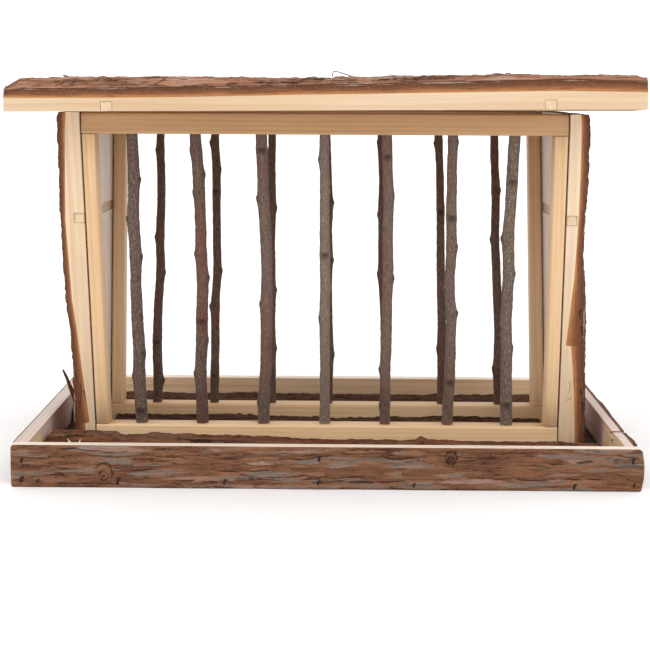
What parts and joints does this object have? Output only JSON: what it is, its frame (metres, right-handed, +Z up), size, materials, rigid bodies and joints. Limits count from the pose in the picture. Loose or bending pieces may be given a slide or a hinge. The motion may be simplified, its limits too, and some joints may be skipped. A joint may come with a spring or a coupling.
{
  "type": "hay rack feeder",
  "caption": "Free-standing wooden hay rack for small livestock: bark-slab tray, V-shaped rack of pine rails and branch rods between bark end panels, hinged bark roof.",
  "frame": {"origin": "centre of the tray's underside, on the surface the feeder stands on", "axes": "+Z up; +X along the feeder's length; +Y towards the hinged back edge of the roof"},
  "size_m": [0.6034, 0.3587, 0.3919],
  "materials": {
    "pine": "planed, unvarnished pale pine",
    "bark_slab": "sawn pale wood with rough bark left on its outer face",
    "branch_bark": "thin smooth grey-brown branch bark",
    "hinge_steel": "zinc-plated"
  },
  "bodies": {
    "rack": {"tray_front_board": "bark_slab", "tray_back_board": "bark_slab", "tray_left_board": "bark_slab", "tray_right_board_front": "bark_slab", "tray_right_board_rear": "bark_slab", "floor_slat_1": "bark_slab", "floor_slat_2": "bark_slab", "floor_slat_3": "bark_slab", "floor_slat_4": "bark_slab", "floor_slat_5": "bark_slab", "floor_slat_6": "bark_slab", "front_branch_1": "branch_bark", "front_branch_2": "branch_bark", "front_branch_3": "branch_bark", "front_branch_4": "branch_bark", "front_branch_5": "branch_bark", "front_branch_6": "branch_bark", "front_branch_7": "branch_bark", "front_bottom_rail": "pine", "front_top_rail": "pine", "front_left_stile": "pine", "front_right_stile": "pine", "back_branch_1": "branch_bark", "back_branch_2": "branch_bark", "back_branch_3": "branch_bark", "back_branch_4": "branch_bark", "back_branch_5": "branch_bark", "back_branch_6": "branch_bark", "back_branch_7": "branch_bark", "back_bottom_rail": "pine", "back_top_rail": "pine", "back_left_stile": "pine", "back_right_stile": "pine", "left_panel_front_slab": "bark_slab", "left_panel_back_slab": "bark_slab", "left_panel_batten": "pine", "right_panel_front_slab": "bark_slab", "right_panel_back_slab": "bark_slab", "right_panel_batten": "pine", "left_hinge_fixed_leaf": "hinge_steel", "left_hinge_pin": "hinge_steel", "left_hinge_rail_screw_1": "hinge_steel", "left_hinge_rail_screw_2": "hinge_steel", "right_hinge_fixed_leaf": "hinge_steel", "right_hinge_pin": "hinge_steel", "right_hinge_rail_screw_1": "hinge_steel", "right_hinge_rail_screw_2": "hinge_steel"},
    "roof": {"roof_slab_1": "bark_slab", "roof_slab_2": "bark_slab", "roof_slab_3": "bark_slab", "roof_slab_4": "bark_slab", "roof_slab_5": "bark_slab", "roof_batten_left": "pine", "roof_batten_right": "pine", "left_hinge_moving_leaf": "hinge_steel", "left_hinge_roof_screw_1": "hinge_steel", "left_hinge_roof_screw_2": "hinge_steel", "right_hinge_moving_leaf": "hinge_steel", "right_hinge_roof_screw_1": "hinge_steel", "right_hinge_roof_screw_2": "hinge_steel"}
  },
  "joints": [
    {"name": "roof_hinge", "type": "hinge", "parent": "rack", "child": "roof", "pos_m": [0, 0.1208, 0.3575], "axis": [-1, 0, 0], "range_deg": [0, 100]}
  ]
}
